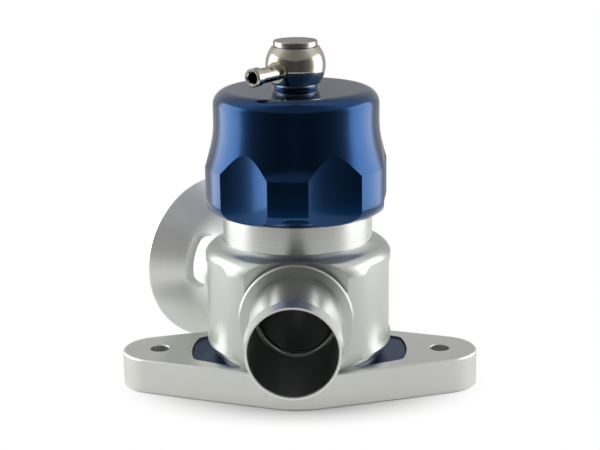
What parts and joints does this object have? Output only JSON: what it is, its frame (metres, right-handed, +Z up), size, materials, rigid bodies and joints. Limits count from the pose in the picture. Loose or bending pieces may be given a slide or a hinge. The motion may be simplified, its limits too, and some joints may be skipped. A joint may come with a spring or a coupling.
{
  "type": "blow-off valve",
  "caption": "Flange-mounted turbo blow-off valve: sprung piston, front recirculation tube, slotted rear trumpet, screw-down scalloped blue cap and swivelling hose fitting on top.",
  "frame": {"origin": "centre of the inlet bore at the mounting flange's bottom face", "axes": "+Z up the valve's axis, away from the flange's mounting face; +X along the line through the two bolt holes; -Y the way the recirculation tube points"},
  "size_m": [0.1216, 0.1183, 0.1183],
  "materials": {
    "machined_aluminium": "machined satin",
    "blasted_aluminium": "fine bead-blasted satin",
    "turned_aluminium": "bright turned and polished",
    "blue_anodised_aluminium": "glossy deep blue anodised",
    "blue_plate_aluminium": "blue anodised over a machined face",
    "hard_anodised_aluminium": "grey hard anodised",
    "nickel_plated_brass": "bright nickel plate",
    "brass": "machined",
    "spring_steel": "oiled spring wire",
    "plain_steel": "turned",
    "nitrile_rubber": "black moulded",
    "ptfe": "off-white turned"
  },
  "bodies": {
    "housing": {"mounting_flange": "machined_aluminium", "adapter_plate": "blue_plate_aluminium", "flange_screws": "plain_steel", "face_seal": "nitrile_rubber", "plate_seal": "nitrile_rubber", "foot_seal": "nitrile_rubber", "valve_body": "blasted_aluminium", "seat_ring": "brass", "cylinder_sleeve": "turned_aluminium", "sleeve_seal": "nitrile_rubber", "cap_seal": "nitrile_rubber", "recirculation_tube": "turned_aluminium", "tube_seal": "nitrile_rubber", "trumpet": "turned_aluminium", "trumpet_seal": "nitrile_rubber"},
    "piston": {"piston": "hard_anodised_aluminium", "piston_rings": "ptfe", "nose_seal": "nitrile_rubber", "seal_retainer": "plain_steel", "retainer_screw": "plain_steel", "main_spring": "spring_steel", "inner_spring": "spring_steel"},
    "spring_carrier": {"spring_seat": "hard_anodised_aluminium"},
    "cap": {"thrust_washer": "plain_steel", "adjuster_cap": "blue_anodised_aluminium", "banjo_bolt": "nickel_plated_brass", "banjo_washers": "plain_steel"},
    "banjo": {"banjo_fitting": "nickel_plated_brass", "hose_nipple": "nickel_plated_brass"}
  },
  "joints": [
    {"name": "piston_lift", "type": "slide", "parent": "housing", "child": "piston", "axis": [0, 0, 1], "range_m": [0, 0.014], "stiffness_N_per_m": 6000, "springref_m": -0.01, "deforming": ["main_spring", "inner_spring"]},
    {"name": "preload_travel", "type": "slide", "parent": "housing", "child": "spring_carrier", "axis": [0, 0, 1], "range_m": [-0.00302, 0.00302]},
    {"name": "cap_turn", "type": "hinge", "parent": "spring_carrier", "child": "cap", "pos_m": [0, 0, 0.08], "axis": [0, 0, 1], "range_deg": [-720, 720]},
    {"name": "banjo_swivel", "type": "hinge", "parent": "cap", "child": "banjo", "pos_m": [0, 0, 0.1102], "axis": [0, 0, 1], "continuous": true}
  ],
  "couplings": [
    {"joint": "preload_travel", "follows": "cap_turn", "m_per_rad": 0.00023873}
  ]
}
